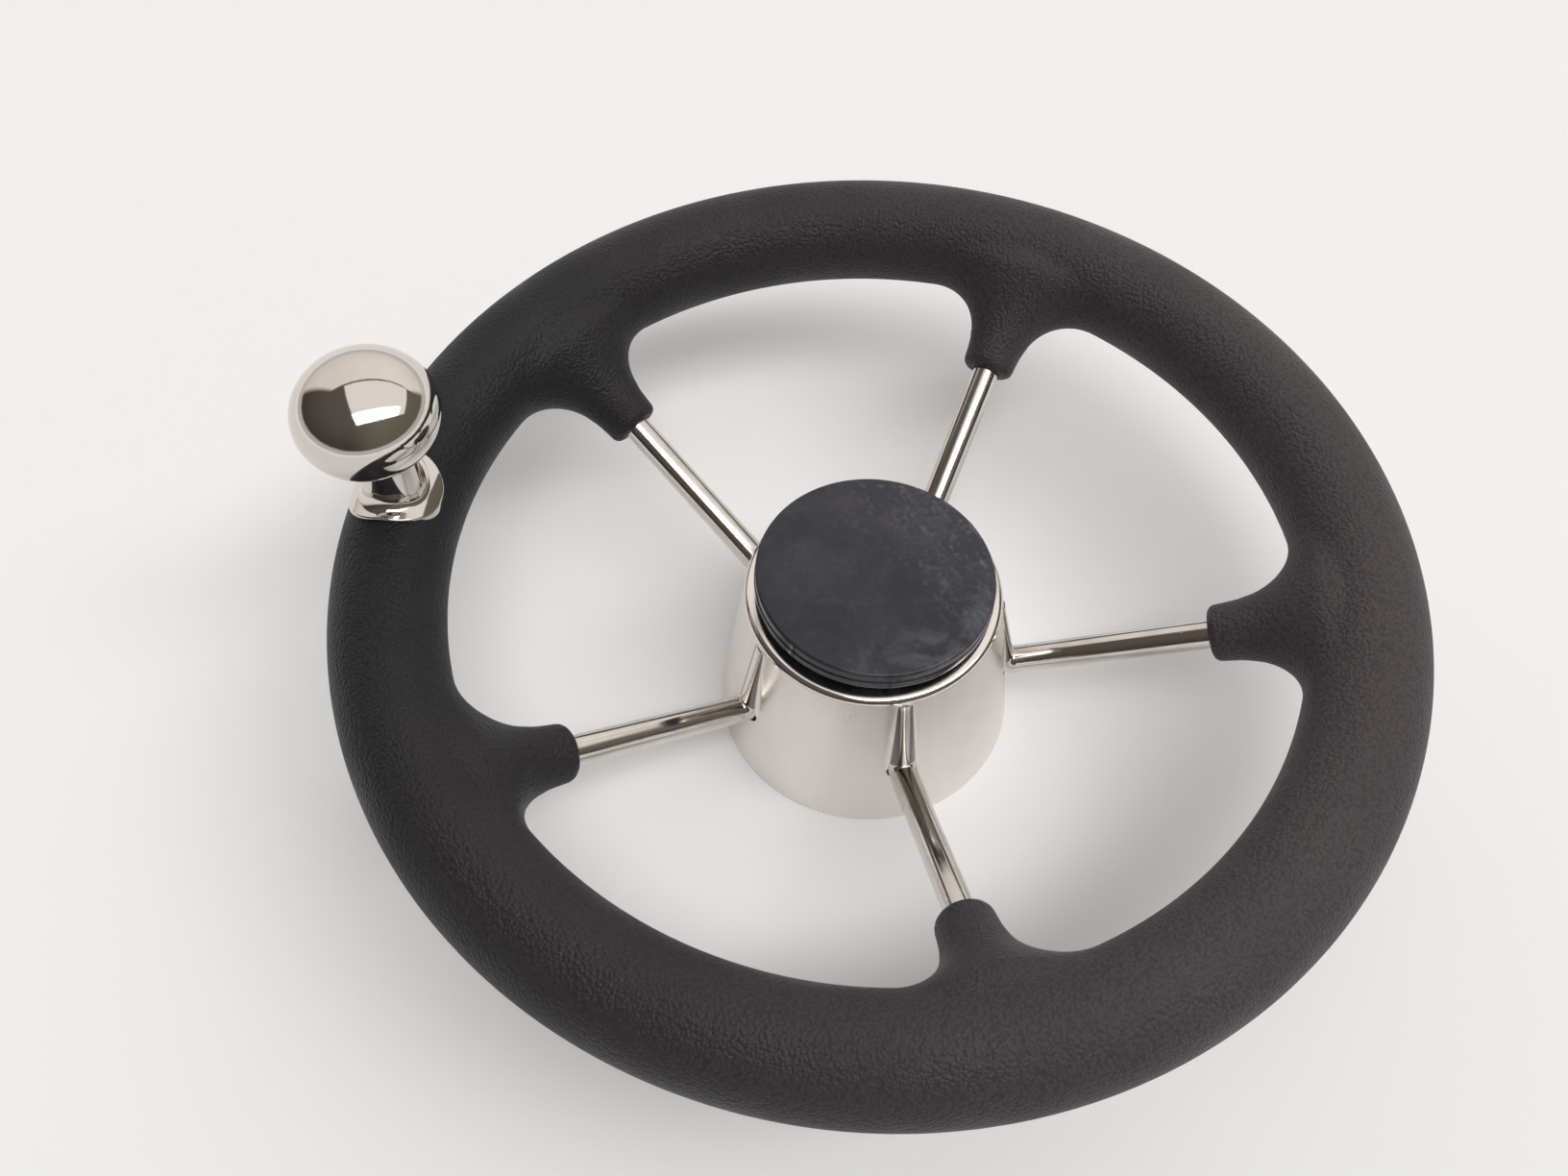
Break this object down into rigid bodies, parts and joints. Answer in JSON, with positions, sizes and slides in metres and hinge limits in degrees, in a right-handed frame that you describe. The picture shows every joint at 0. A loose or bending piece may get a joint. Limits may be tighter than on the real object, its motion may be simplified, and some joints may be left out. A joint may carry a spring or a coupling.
{
  "type": "boat steering wheel",
  "caption": "Dished boat steering wheel: black foam grip on a steel ring, polished rod spokes bent into a conical stainless hub, push-in rubber cap, and a free-turning ball knob on the rim.",
  "frame": {"origin": "centre of the tapered shaft bore's mouth, in the back face of the boss", "axes": "+Z along the helm shaft towards the driver, +X along the first spoke, with the spinner knob on the rim at -X"},
  "size_m": [0.347, 0.343, 0.1498],
  "materials": {
    "grip_foam": "black integral-skin polyurethane foam, fine leather grain, low gloss",
    "core_steel": "stainless tube, as drawn, hidden in the grip",
    "spoke_polished": "stainless rod, polished along its length with a fine brushed grain",
    "hub_satin": "spun stainless cone, satin with a fine upright grain and a polished lip",
    "hub_machined": "turned stainless, plain machined finish",
    "weld_metal": "rippled weld metal with a faint heat tint",
    "cap_rubber": "moulded black rubber, dusty blue-grey scuffs, smooth rounded edge",
    "knob_mirror": "mirror-polished stainless",
    "knob_inner_steel": "turned stainless, hidden inside the ball",
    "bush_nylon": "natural nylon",
    "fastener_steel": "stainless fastener, plain finish"
  },
  "bodies": {
    "wheel": {"rim_grip": "grip_foam", "rim_core": "core_steel", "spoke_1": "spoke_polished", "spoke_2": "spoke_polished", "spoke_3": "spoke_polished", "spoke_4": "spoke_polished", "spoke_5": "spoke_polished", "hub_shell": "hub_satin", "hub_boss": "hub_machined", "hub_web": "hub_machined", "hub_welds": "weld_metal", "knob_post": "knob_mirror", "knob_thrust_washer": "bush_nylon", "knob_spindle": "fastener_steel", "knob_saddle_washer": "fastener_steel", "knob_nut": "fastener_steel"},
    "knob": {"knob_ball": "knob_mirror", "knob_socket": "knob_inner_steel", "knob_bush_lower": "bush_nylon", "knob_bush_upper": "bush_nylon"},
    "cap": {"center_cap": "cap_rubber"}
  },
  "joints": [
    {"name": "knob_spin", "type": "hinge", "parent": "wheel", "child": "knob", "pos_m": [-0.15348, 0.00255, 0.1265], "axis": [0, 0, 1], "continuous": true},
    {"name": "cap_lift", "type": "slide", "parent": "wheel", "child": "cap", "axis": [0, 0, 1], "range_m": [0, 0.016]}
  ]
}
